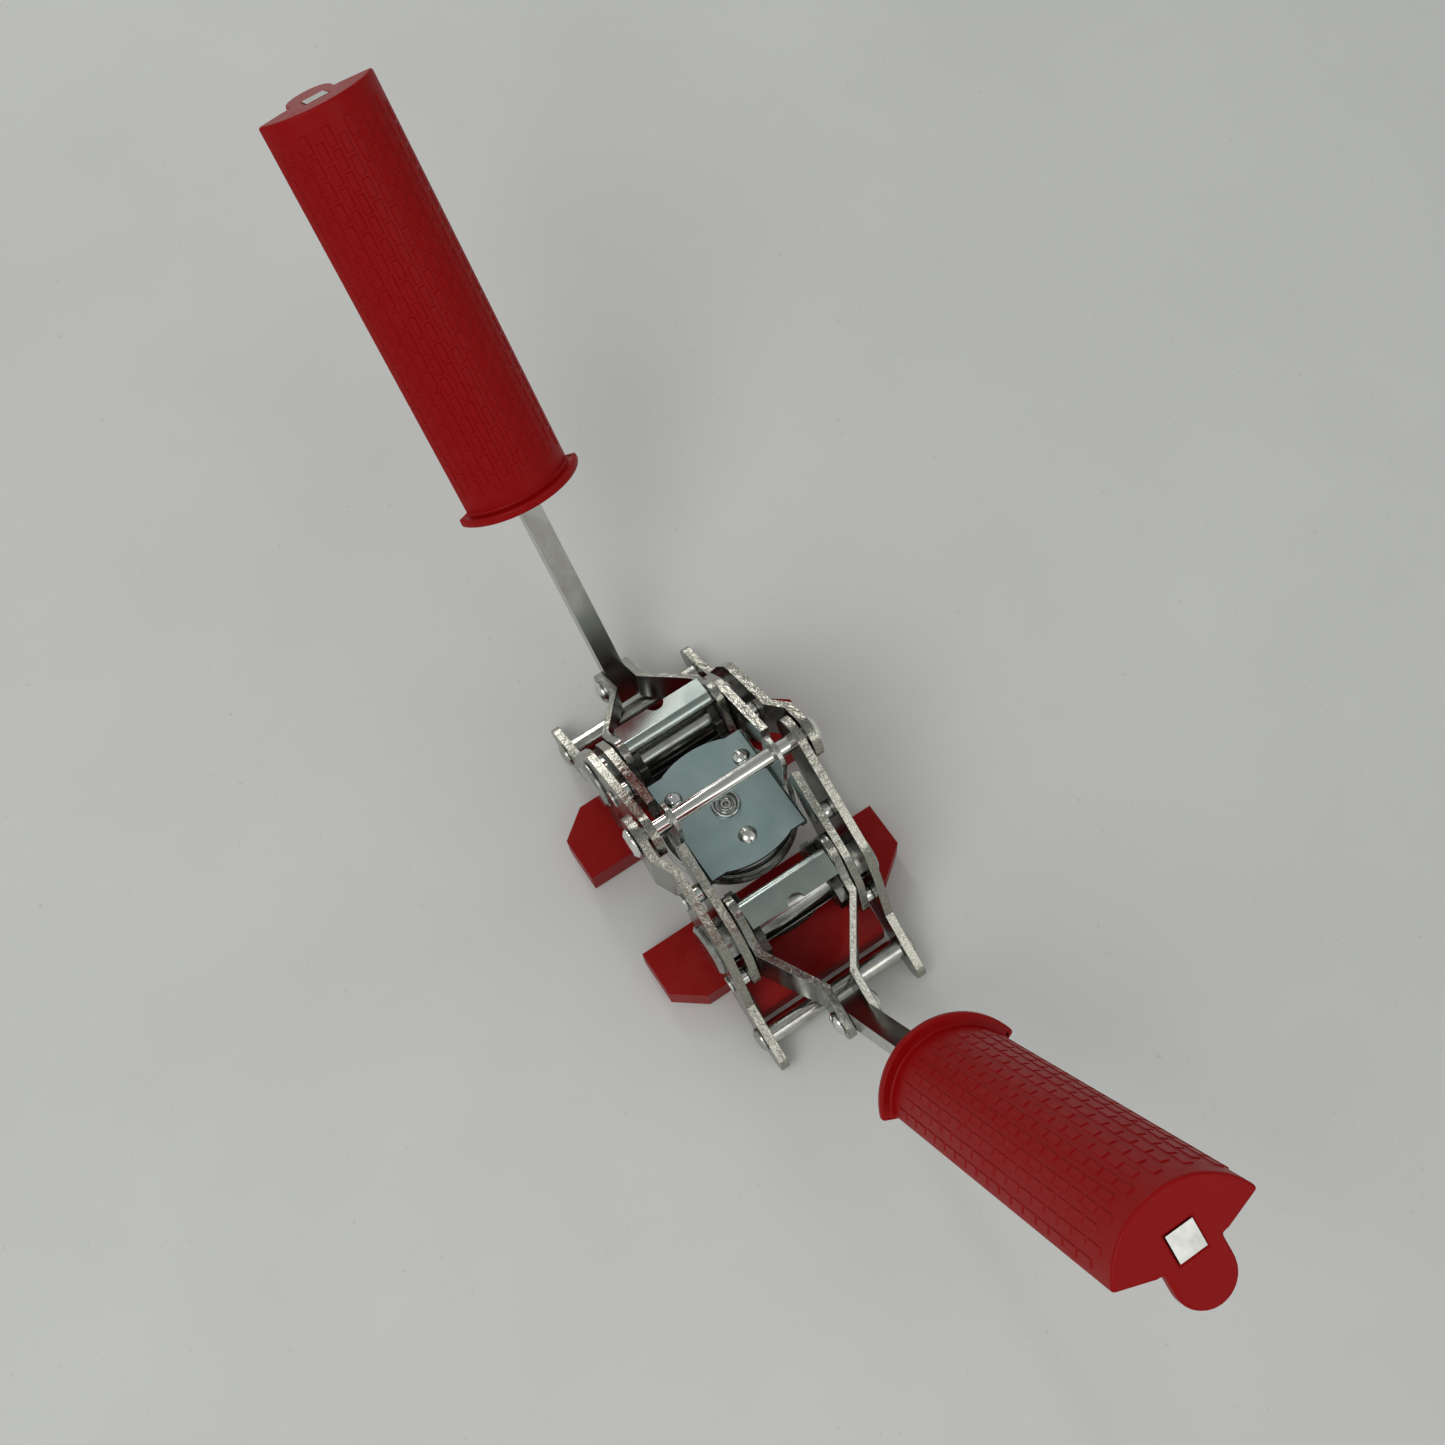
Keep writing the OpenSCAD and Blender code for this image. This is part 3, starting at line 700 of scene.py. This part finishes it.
class GeometryTree:
    """A Geometry Nodes tree with named inputs."""

    def __init__(self, name: str, inputs: dict[str, object]) -> None:
        """Makes the tree with its inputs and one geometry output.

        Args:
            name: The tree's name.
            inputs: Name and default of each input: int, float or "material".
        """
        self.nodes = bpy.data.node_groups.new(name, "GeometryNodeTree")
        self.build = Tree(self.nodes)
        self.sockets: dict[str, str] = {}
        for label, value in inputs.items():
            kind = {int: "NodeSocketInt", float: "NodeSocketFloat", str: "NodeSocketMaterial"}[type(value)]
            item = self.nodes.interface.new_socket(label, in_out="INPUT", socket_type=kind)
            if not isinstance(value, str):
                item.default_value = value
            self.sockets[label] = item.identifier
        self.nodes.interface.new_socket("Geometry", in_out="OUTPUT", socket_type="NodeSocketGeometry")
        self.given = self.build.add("NodeGroupInput")
        self.result = self.build.add("NodeGroupOutput")

    def finish(self, geometry: bpy.types.NodeSocket) -> None:
        """Ends the tree in Realize Instances and Set Material.

        Args:
            geometry: The output that holds the finished shapes.
        """
        real = self.build.add("GeometryNodeRealizeInstances", geometry)
        painted = self.build.add("GeometryNodeSetMaterial")
        self.build.feed(painted.inputs["Geometry"], real.outputs[0])
        self.build.feed(painted.inputs["Material"], self.given.outputs["Material"])
        self.build.feed(self.result.inputs[0], painted.outputs[0])

    def run(self, values: dict[str, object], name: str, place: Matrix) -> bpy.types.Object:
        """Runs the tree with its inputs set and returns the plain mesh object.

        Args:
            values: Input values by name.
            name: Name of the object.
            place: Where the shape goes in the row frame.

        Returns:
            The finished object.
        """
        holder = bpy.data.objects.new(f"{name}_maker", bpy.data.meshes.new(f"{name}_maker"))
        bpy.context.collection.objects.link(holder)
        modifier = holder.modifiers.new("maker", "NODES")
        modifier.node_group = self.nodes
        for label, value in values.items():
            modifier[self.sockets[label]] = value
        return baked(holder, name, place)


def block_relief() -> GeometryTree:
    """Tree of raised blocks laid in running bond over a dome that is round in section.

    Returns:
        The tree; its blocks run along X and climb over the arc of the given radius.
    """
    tree = GeometryTree("block_relief", {
        "Rows": 15, "Columns": 18, "Start": 0.07, "Pitch Along": 0.0062, "Arc": 1.2, "Radius": 0.017,
        "Centre": -0.006, "Block Length": 0.0055, "Block Width": 0.0022, "Block Height": 0.0005,
        "Material": "material"})
    build, given = tree.build, tree.given
    count = build.maths("MULTIPLY", given.outputs["Rows"], given.outputs["Columns"])
    points = build.add("GeometryNodePoints", count)
    index = build.add("GeometryNodeInputIndex").outputs[0]
    row = build.maths("FLOOR", build.maths("DIVIDE", index, given.outputs["Columns"]))
    column = build.maths("MODULO", index, given.outputs["Columns"])
    shift = build.maths("MULTIPLY", build.maths("MODULO", row, 2.0), 0.5)
    step = build.maths("ADD", column, shift)
    along = build.maths("MULTIPLY_ADD", step, given.outputs["Pitch Along"], given.outputs["Start"])
    last = build.maths("SUBTRACT", given.outputs["Rows"], 1.0)
    share = build.maths("SUBTRACT", build.maths("DIVIDE", row, last), 0.5)
    angle = build.maths("MULTIPLY", build.maths("MULTIPLY", share, 2.0), given.outputs["Arc"])
    across = build.maths("MULTIPLY", build.maths("SINE", angle), given.outputs["Radius"])
    rise = build.maths("MULTIPLY_ADD", build.maths("COSINE", angle), given.outputs["Radius"], given.outputs["Centre"])
    place = build.add("ShaderNodeCombineXYZ", along, across, rise).outputs[0]
    moved = build.add("GeometryNodeSetPosition")
    build.feed(moved.inputs["Geometry"], points.outputs[0])
    build.feed(moved.inputs["Position"], place)
    lengths = [given.outputs[f"Block {name}"] for name in ("Length", "Width", "Height")]
    size = build.add("ShaderNodeCombineXYZ", *lengths)
    block = build.add("GeometryNodeMeshCube", size.outputs[0])
    where = build.add("GeometryNodeInputPosition").outputs[0]
    top = build.maths("GREATER_THAN", build.add("ShaderNodeSeparateXYZ", where).outputs[2], 0.0)
    shrunk = build.vector("MULTIPLY", where, BLOCK_TAPER).outputs["Vector"]
    tapered = build.add("GeometryNodeSetPosition")
    build.feed(tapered.inputs["Geometry"], block.outputs[0])
    build.feed(tapered.inputs["Selection"], top)
    build.feed(tapered.inputs["Position"], shrunk)
    turn = build.add("ShaderNodeCombineXYZ", build.maths("MULTIPLY", angle, -1.0), 0.0, 0.0)
    laid = build.add("GeometryNodeInstanceOnPoints")
    build.feed(laid.inputs["Points"], moved.outputs[0])
    build.feed(laid.inputs["Instance"], tapered.outputs[0])
    build.feed(laid.inputs["Rotation"], turn.outputs[0])
    tree.finish(laid.outputs[0])
    return tree


# ---- sub-assemblies ----


@dataclass
class Swivel:
    """The plate, stud, races, hangers and hinge rod in the middle. Sizes in mm: radius and height."""

    finishes: Finishes
    stud_profile: Outline = (
        (3.0, 25.8), (3.0, 33.7), (4.0, 33.7), (4.0, 41.75), (3.75, 42.0), (3.2, 42.0), (2.95, 41.7), (2.9, 40.7),
        (2.35, 40.7), (2.3, 41.75), (2.1, 41.95), (1.75, 41.95), (1.5, 41.7), (1.4, 41.0), (0.85, 41.0),
        (0.7, 41.45), (0.4, 41.7))
    stud_sides: int = 64

    def stud_mesh(self) -> bpy.types.Mesh:
        """Turns the stud with its two rings and its small core.

        Returns:
            The mesh in the row frame.
        """
        angles = [2.0 * math.pi * i / self.stud_sides for i in range(self.stud_sides)]
        shape = bmesh.new()
        rings = [[shape.verts.new((r * MM * math.cos(a), r * MM * math.sin(a), z * MM)) for a in angles]
                 for r, z in self.stud_profile]
        for low, high in zip(rings, rings[1:]):
            for i in range(self.stud_sides):
                j = (i + 1) % self.stud_sides
                shape.faces.new((low[i], low[j], high[j], high[i]))
        shape.faces.new(rings[0][::-1])
        shape.faces.new(rings[-1])
        mesh = bpy.data.meshes.new("stud_turned")
        shape.to_mesh(mesh)
        shape.free()
        mesh.transform(swivel_axis())
        return mesh

    def build(self) -> None:
        """Dresses the swivel's pieces."""
        f = self.finishes
        soften("swivel_top_plate", f["swivel_zinc"], "swivel", 0.3)
        soften("swivel_rivets", f["rivet_bright"], "swivel", 0.3)
        soften("swivel_stud", f["stud_turned"], "swivel", 0.06, mesh=self.stud_mesh())
        soften("upper_race", f["race_turned"], "swivel", 0.3)
        soften("lower_race", f["race_turned"], "turntable", 0.3)
        soften("stud_nut", f["rivet_bright"], "swivel", 0.3)
        soften("left_hanger", f["hanger_zinc"], "swivel", 0.2)
        soften("right_hanger", f["hanger_zinc"], "swivel", 0.2)
        soften("hinge_rod", f["rod_bright"], "swivel", 0.3)
        LOG.info("swivel done")


@dataclass
class Frame:
    """One unit's side plates, liners, rivets and anchor bolt. Sizes in mm."""

    unit: Unit
    finishes: Finishes
    liner_head: Outline = ((5.6, 47.5), (12.0, 42.5), (16.7, 49.4), (7.2, 54.2))
    liner_sides: Pair = (16.6, 19.1)

    def liner_mesh(self, hand: str) -> bpy.types.Mesh:
        """Makes a liner whose square cut head reaches up to the hinge rod.

        Args:
            hand: "left" or "right".

        Returns:
            The mesh in the row frame.
        """
        node = self.unit.node(f"{hand}_liner")
        side = 1.0 if hand == "right" else -1.0
        plate = bpy.data.objects.new(f"{node}_plate", frame["nodes"][node].data.copy())
        bpy.context.collection.objects.link(plate)
        low, high = sorted(side * y for y in self.liner_sides)
        head = prism(f"{node}_head", self.liner_head, low, high, self.unit.to_row())
        return carve(plate, [("UNION", head)])

    def build(self) -> None:
        """Dresses the frame's pieces."""
        f, body = self.finishes, self.unit.node("frame")
        for hand in ("left", "right"):
            soften(self.unit.node(f"{hand}_plate"), f["side_plate_zinc"], body, 0.3)
            liner = self.liner_mesh(hand)
            soften(self.unit.node(f"{hand}_liner"), f["liner_zinc"], body, 0.25, mesh=liner)
        soften(self.unit.node("liner_rivets"), f["rivet_bright"], body, 0.3)
        soften(self.unit.node("anchor_bolt"), f["bolt_mottled"], body, 0.3)
        LOG.info("%s frame done", self.unit.label)


@dataclass
class Spindle:
    """One unit's split spindle with its wheels and caps."""

    unit: Unit
    finishes: Finishes

    def build(self) -> None:
        """Dresses the spindle's pieces."""
        body = self.unit.node("spindle")
        for name in ("upper_spindle_half", "lower_spindle_half", "spindle_caps"):
            soften(self.unit.node(name), self.finishes["spindle_steel"], body, 0.25)
        for hand in ("left", "right"):
            soften(self.unit.node(f"{hand}_ratchet_wheel"), self.finishes["hardened_steel"], body, 0.12)
        LOG.info("%s spindle done", self.unit.label)


@dataclass
class Lever:
    """One unit's lever: yoke arms, bar and the grip with its block relief. Sizes in mm."""

    unit: Unit
    finishes: Finishes
    relief: GeometryTree
    neck_reach: float = 30.9
    neck_drop: float = 18.0
    bar_angle: float = 53.5
    bar_free: float = 67.0
    grip_length: float = 115.0
    grip_width: float = 32.0
    dome_height: float = 11.0
    margin: float = 4.5
    rows: int = 13
    columns: int = 17
    block: Triple = (5.5, 2.2, 0.5)
    block_gap: float = 0.5
    relief_edge: float = 2.6
    relief_start: float = 3.0
    pawl_bend: Pair = (0.1, 11.2)
    pawl_radius: float = 2.6
    pawl_sheet: float = 1.4
    pawl_lean: float = 73.8
    pawl_reach: float = 5.7
    pawl_half: float = 13.5
    bend_steps: int = 14
    flange_half: float = 10.6
    flange_foot: float = 8.0
    flange_inset: float = 0.04
    foot_drop: float = 0.5
    flange_lap: float = 0.3
    blade_turn: float = -99.0
    blade: Outline = ((8.45, -0.12), (9.655, -2.32), (11.9, -2.32), (11.9, -0.12))
    blade_sides: Pair = (10.8, 13.45)
    ear: Outline = ((9.9, -2.22), (11.7, -2.22), (11.7, -0.22), (9.9, -0.22))
    ear_sides: Pair = (13.2, 16.2)
    notch_radius: float = 2.6
    notch_inset: float = 0.5
    notch_sides: int = 40
    notch_margin: float = 3.0

    def base(self) -> Matrix:
        """The spindle's frame, turned as far as the lever stands above its lowest place.

        Returns:
            X outwards, Y across and Z up when the lever is at its lowest.
        """
        hinge = self.unit.joint("lever_swing")
        facing = Matrix.Rotation(0.0 if self.unit.side > 0 else math.pi, 4, "Z")
        swing = Matrix.Rotation(math.radians(hinge["range_deg"][0]), 4, "Y")
        return Matrix.Translation(hinge["pos_m"]) @ facing @ swing

    def place(self) -> Matrix:
        """The lever's own frame in the row frame.

        Returns:
            X along the bar from the neck, Y across, Z towards the domed side.
        """
        neck = Matrix.Translation(Vector((self.neck_reach, 0.0, -self.neck_drop)) * MM)
        tilt = Matrix.Rotation(math.radians(-self.bar_angle), 4, "Y")
        return self.base() @ neck @ tilt

    def dome_radius(self) -> float:
        """Radius of the grip's domed side."""
        return (self.grip_width**2 / 4.0 + self.dome_height**2) / (2.0 * self.dome_height)

    def pawl_arc(self, radius: float) -> list[Pair]:
        """The pawl's bend in section, from the flange over to the sloping top.

        Args:
            radius: Radius of the sheet's outer or inner face.

        Returns:
            Points in X and Z.
        """
        lean = math.radians(self.pawl_lean)
        angles = [math.pi - (math.pi - lean) * i / self.bend_steps for i in range(self.bend_steps + 1)]
        x, z = self.pawl_bend
        return [(x + radius * math.cos(a), z + radius * math.sin(a)) for a in angles]

    def pawl_section(self) -> tuple[list[Pair], float, Triple]:
        """Section of the pawl's sheet from its flange to its free edge.

        Returns:
            The outline in X and Z, the height of its foot, and the free edge: how far out it lies, and
            its upper and lower height.
        """
        lean = math.radians(self.pawl_lean)
        ahead = (math.sin(lean) * self.pawl_reach, -math.cos(lean) * self.pawl_reach)
        over, under = self.pawl_arc(self.pawl_radius), self.pawl_arc(self.pawl_radius - self.pawl_sheet)
        tips = [(arc[-1][0] + ahead[0], arc[-1][1] + ahead[1]) for arc in (over, under)]
        foot = self.pawl_bend[1] - self.foot_drop
        outline = [(over[0][0], foot), *over, *tips, *under[::-1], (under[0][0], foot)]
        return outline, foot, (tips[0][0], tips[0][1], tips[1][1])

    def pawl_mesh(self) -> bpy.types.Mesh:
        """Makes the drive pawl: a sheet with one broad round bend, a flange, toothed blades and ears.

        Returns:
            The mesh in the row frame. Sizes run from the spindle's axis.
        """
        place, label = self.base(), self.unit.node("pawl")
        outline, foot, (edge, upper, lower) = self.pawl_section()
        left = self.pawl_bend[0] - self.pawl_radius
        inner, outer = left + self.flange_inset, left + self.pawl_sheet - self.flange_inset
        top = foot + self.flange_lap
        flange = [(inner, self.flange_foot), (outer, self.flange_foot), (outer, top), (inner, top)]
        steps = [("UNION", prism(f"{label}_flange", flange, -self.flange_half, self.flange_half, place))]
        turned = place @ Matrix.Rotation(math.radians(self.blade_turn), 4, "Y")
        for side in (-1, 1):
            for name, shape, ends in (("blade", self.blade, self.blade_sides), ("ear", self.ear, self.ear_sides)):
                low, high = sorted(side * end for end in ends)
                steps.append(("UNION", prism(f"{label}_{name}_{side}", shape, low, high, turned)))
        centre, sides = edge + self.notch_inset, self.notch_sides
        low, high = lower - self.notch_margin, upper + self.notch_margin
        notch = [(centre + self.notch_radius * math.cos(a), self.notch_radius * math.sin(a))
                 for a in (2.0 * math.pi * i / sides for i in range(sides))]
        steps.append(("DIFFERENCE", prism(f"{label}_notch", notch, low, high, place, flat=True)))
        return carve(prism(f"{label}_sheet", outline, -self.pawl_half, self.pawl_half, place), steps)

    def build_relief(self) -> bpy.types.Object:
        """Lays the raised blocks over the domed side of the grip.

        Returns:
            The blocks as one piece.
        """
        radius = self.dome_radius()
        half_arc = math.asin(self.grip_width / 2.0 / radius) - self.relief_edge / radius
        free = self.grip_length - 2.0 * self.margin - self.relief_start
        pitch = free / (self.columns + 0.5)
        length, width, height = self.block
        values = {
            "Rows": self.rows, "Columns": self.columns, "Pitch Along": pitch * MM, "Arc": half_arc,
            "Start": (self.bar_free + self.relief_start + self.margin + pitch / 2.0) * MM, "Radius": radius * MM,
            "Centre": (self.dome_height - radius) * MM, "Block Length": min(length, pitch - self.block_gap) * MM,
            "Block Width": width * MM, "Block Height": height * MM, "Material": self.finishes["grip_red"]}
        piece = self.relief.run(values, self.unit.node("grip_relief"), self.place())
        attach(piece, self.unit.node("lever"))
        return piece

    def build(self) -> None:
        """Dresses the lever's pieces and adds the relief."""
        f, body, drive = self.finishes, self.unit.node("lever"), self.unit.node("drive")
        for hand in ("left", "right"):
            soften(self.unit.node(f"{hand}_lever_arm"), f["arm_zinc"], body, 0.3)
        soften(self.unit.node("neck_rivet"), f["rivet_bright"], body, 0.3)
        soften(self.unit.node("lever_bar"), f["bar_bright"], body, 0.5)
        soften(self.unit.node("grip"), f["grip_red"], body, 0.7)
        self.build_relief()
        pawl = self.pawl_mesh()
        soften(self.unit.node("drive_pawl"), f["pawl_zinc"], drive, 0.2, mesh=pawl)
        LOG.info("%s lever done", self.unit.label)


@dataclass
class Release:
    """One unit's red release slide and its lock blade. Sizes in mm, X from the swivel's axis."""

    unit: Unit
    finishes: Finishes
    wing: Outline = ((13.3, -38.6), (27.0, -38.6), (33.6, -30.0), (33.6, 30.0), (27.0, 38.6), (13.3, 38.6))
    wing_height: Pair = (1.0, 10.0)
    middle: Outline = ((26.6, 1.2), (43.4, 1.2), (46.2, 4.6), (45.8, 10.4), (44.2, 12.6), (41.0, 14.4), (37.0, 15.9),
                       (33.0, 16.9), (26.6, 16.9))
    middle_half: float = 20.4
    arc_centre: float = 6.0
    arc_radius: float = 27.0
    opening: Pair = (24.6, 15.6)
    opening_height: Pair = (-5.0, 30.0)
    arc_steps: int = 32
    range_slack: float = 0.00001

    def place(self) -> Matrix:
        """The slide's place in the row frame, where the lever's own rest place has lifted it.

        Returns:
            The place, with the lift along the slide's own direction.
        """
        slide = self.unit.joint("release_slide")
        lift = -min(0.0, slide["range_m"][0] + self.range_slack)
        return Matrix.Translation(Vector(slide["axis"]).normalized() * lift) @ self.unit.to_row()

    def slide_mesh(self) -> bpy.types.Mesh:
        """Makes the slide: wings, the broad middle and the arched opening between them.

        Returns:
            The mesh in the row frame.
        """
        place = self.place()
        x0, half = self.opening
        top = math.asin(half / self.arc_radius)
        arch = [(x0, -half)]
        for i in range(self.arc_steps + 1):
            angle = -top + 2.0 * top * i / self.arc_steps
            arch.append((self.arc_centre + self.arc_radius * math.cos(angle), self.arc_radius * math.sin(angle)))
        arch.append((x0, half))
        label = self.unit.node("slide")
        wings = prism(f"{label}_wings", self.wing, *self.wing_height, place, flat=True)
        middle = prism(f"{label}_middle", self.middle, -self.middle_half, self.middle_half, place)
        opening = prism(f"{label}_opening", arch, *self.opening_height, place, flat=True)
        blade = frame["nodes"][self.unit.node("lock_blade")]
        pocket = bpy.data.objects.new(f"{label}_pocket", blade.data.copy())
        bpy.context.collection.objects.link(pocket)
        return carve(wings, [("UNION", middle), ("DIFFERENCE", opening), ("DIFFERENCE", pocket)])

    def build(self) -> None:
        """Dresses the slide and the blade."""
        f, body = self.finishes, self.unit.node("release")
        slide = self.slide_mesh()
        soften(self.unit.node("release_slide"), f["slide_red"], body, 0.5, mesh=slide)
        soften(self.unit.node("lock_blade"), f["hardened_steel"], body, 0.15)
        LOG.info("%s release done", self.unit.label)


# ---- studio ----


@dataclass
class Studio:
    """Floor, light and camera. Lengths in metres."""

    eye: Triple = (0.1546, -0.0733, 0.4952)
    right: Triple = (0.5519, 0.8319, -0.0554)
    up: Triple = (-0.7551, 0.5269, 0.3901)
    focal_px: float = 1808.8
    frame_px: float = 1445.0
    sensor_mm: float = 36.0
    floor_half: float = 4.0
    floor_base: tuple[Colour, Colour] = ((0.625, 0.63, 0.605), (0.665, 0.67, 0.645))
    floor_fleck: Colour = (0.42, 0.41, 0.38)
    floor_gloss: float = 0.15
    floor_roughness: float = 0.6
    cloud_scale: float = 9.0
    cloud_limits: Pair = (0.3, 0.7)
    fleck_scale: float = 420.0
    fleck_limits: Pair = (0.7, 0.78)
    fleck_share: float = 0.35
    shade_way: Triple = (-0.35, 0.17, 0.92)
    shade_limits: Pair = (0.2, 0.95)
    horizon_limits: Pair = (-0.15, 0.2)
    surround: tuple[Colour, Colour] = ((0.62, 0.63, 0.62), (0.30, 0.31, 0.31))
    below: Colour = (0.10, 0.10, 0.10)
    lamps: tuple[tuple[str, Triple, Pair, float], ...] = (
        ("key", (0.25, -0.6, 0.95), (0.6, 0.6), 3.6),
        ("fill", (0.85, 0.3, 0.7), (0.5, 0.5), 0.9),
        ("strip", (-1.0, 0.1, 0.5), (0.12, 1.0), 2.0),
    )

    def build_camera(self) -> None:
        """Makes the camera at the fitted viewing angle."""
        data = bpy.data.cameras.new("camera")
        data.sensor_fit = "HORIZONTAL"
        data.sensor_width = self.sensor_mm
        data.lens = self.focal_px / self.frame_px * self.sensor_mm
        data.clip_start = 0.01
        camera = bpy.data.objects.new("camera", data)
        right = Vector(self.right).normalized()
        back = right.cross(Vector(self.up)).normalized()
        up = back.cross(right)
        turn = Matrix((right, up, back)).transposed().to_4x4()
        camera.matrix_world = swivel_axis() @ Matrix.Translation(self.eye) @ turn
        bpy.context.collection.objects.link(camera)
        bpy.context.scene.camera = camera

    def build_floor(self) -> None:
        """Makes the pale floor with faint scuffs."""
        size = self.floor_half
        mesh = bpy.data.meshes.new("floor")
        corners = [(-size, -size, 0.0), (size, -size, 0.0), (size, size, 0.0), (-size, size, 0.0)]
        mesh.from_pydata(corners, [], [(0, 1, 2, 3)])
        surface = Surface.start("floor_pale", 0.0, self.floor_roughness)
        surface.shader.inputs["Specular IOR Level"].default_value = self.floor_gloss
        tree = surface.tree
        cloud = tree.ramp(tree.noise(surface.point, self.cloud_scale, 4.0, 0.6), *self.cloud_limits)
        fleck = tree.ramp(tree.noise(surface.point, self.fleck_scale, 2.0, 0.5), *self.fleck_limits)
        base = tree.blend(cloud, *self.floor_base)
        flecked = tree.blend(tree.maths("MULTIPLY", fleck, self.fleck_share), base, self.floor_fleck)
        tree.feed(surface.shader.inputs["Base Color"], flecked)
        mesh.materials.append(surface.material)
        floor = bpy.data.objects.new("floor", mesh)
        bpy.context.collection.objects.link(floor)

    def build_lights(self) -> None:
        """Makes the soft lamps and the even surround, darker towards one side."""
        for name, place, size, power in self.lamps:
            data = bpy.data.lights.new(name, "AREA")
            data.shape = "RECTANGLE"
            data.size, data.size_y = size
            data.energy = power
            lamp = bpy.data.objects.new(name, data)
            lamp.location = place
            lamp.rotation_euler = Vector(place).to_track_quat("Z", "Y").to_euler()
            bpy.context.collection.objects.link(lamp)
        world = bpy.data.worlds.new("surround")
        world.use_nodes = True
        tree = Tree(world.node_tree)
        out = tree.add("ShaderNodeOutputWorld")
        way = tree.add("ShaderNodeTexCoord").outputs["Generated"]
        overhead = tree.vector("DOT_PRODUCT", way, self.shade_way).outputs["Value"]
        around = tree.blend(tree.ramp(overhead, *self.shade_limits), *self.surround)
        level = tree.add("ShaderNodeSeparateXYZ", way).outputs[2]
        shade = tree.blend(tree.ramp(level, *self.horizon_limits), self.below, around)
        light = tree.add("ShaderNodeBackground", shade, 1.0)
        tree.feed(out.inputs["Surface"], light.outputs[0])
        bpy.context.scene.world = world

    def build(self) -> None:
        """Makes the whole studio."""
        self.build_camera()
        self.build_floor()
        self.build_lights()
        bpy.context.scene.view_settings.view_transform = "Standard"


def main() -> None:
    """Builds the studio, the swivel and both units."""
    logging.basicConfig(level=logging.INFO)
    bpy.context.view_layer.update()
    Studio().build()
    finishes = Finishes()
    Swivel(finishes).build()
    relief = block_relief()
    for unit in Unit:
        Frame(unit, finishes).build()
        Spindle(unit, finishes).build()
        Lever(unit, finishes, relief).build()
        Release(unit, finishes).build()


if __name__ == "__main__":
    main()
